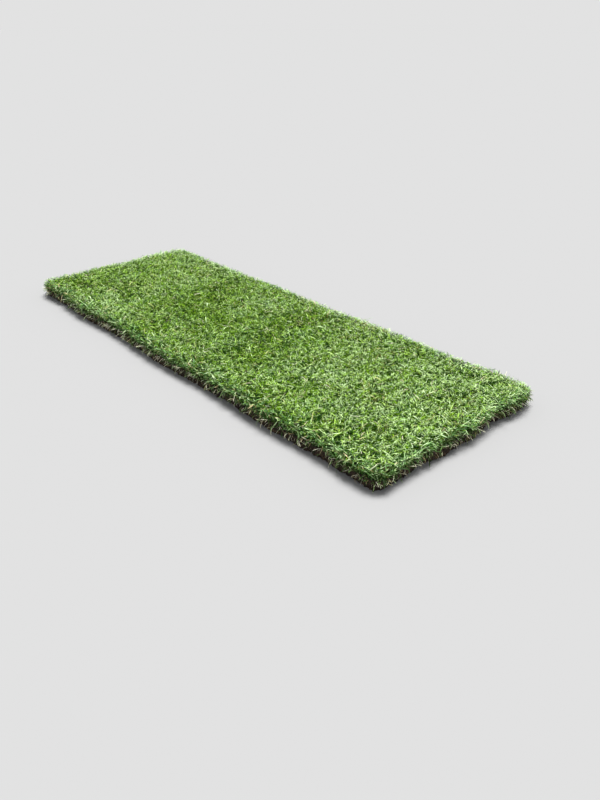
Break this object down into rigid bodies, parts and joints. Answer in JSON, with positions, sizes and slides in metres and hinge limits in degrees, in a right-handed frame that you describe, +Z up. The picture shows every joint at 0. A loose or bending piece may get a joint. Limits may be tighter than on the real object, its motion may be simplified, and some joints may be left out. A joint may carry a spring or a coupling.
{
  "type": "laid turf strip",
  "caption": "Strip of cut turf lying flat as laid: a slab of soil and roots with short mown grass that hangs over its cut edges.",
  "frame": {"origin": "on the underside of the soil mat, under the middle of the strip", "axes": "+X along the strip towards the free end that the picture shows, +Y across it, +Z up out of the grass"},
  "size_m": [1.7098, 0.6327, 0.062],
  "materials": {
    "soil": "matte",
    "grass": "matte"
  },
  "bodies": {
    "root": {"soil_mat": "soil", "grass_sward": "grass"}
  },
  "joints": []
}
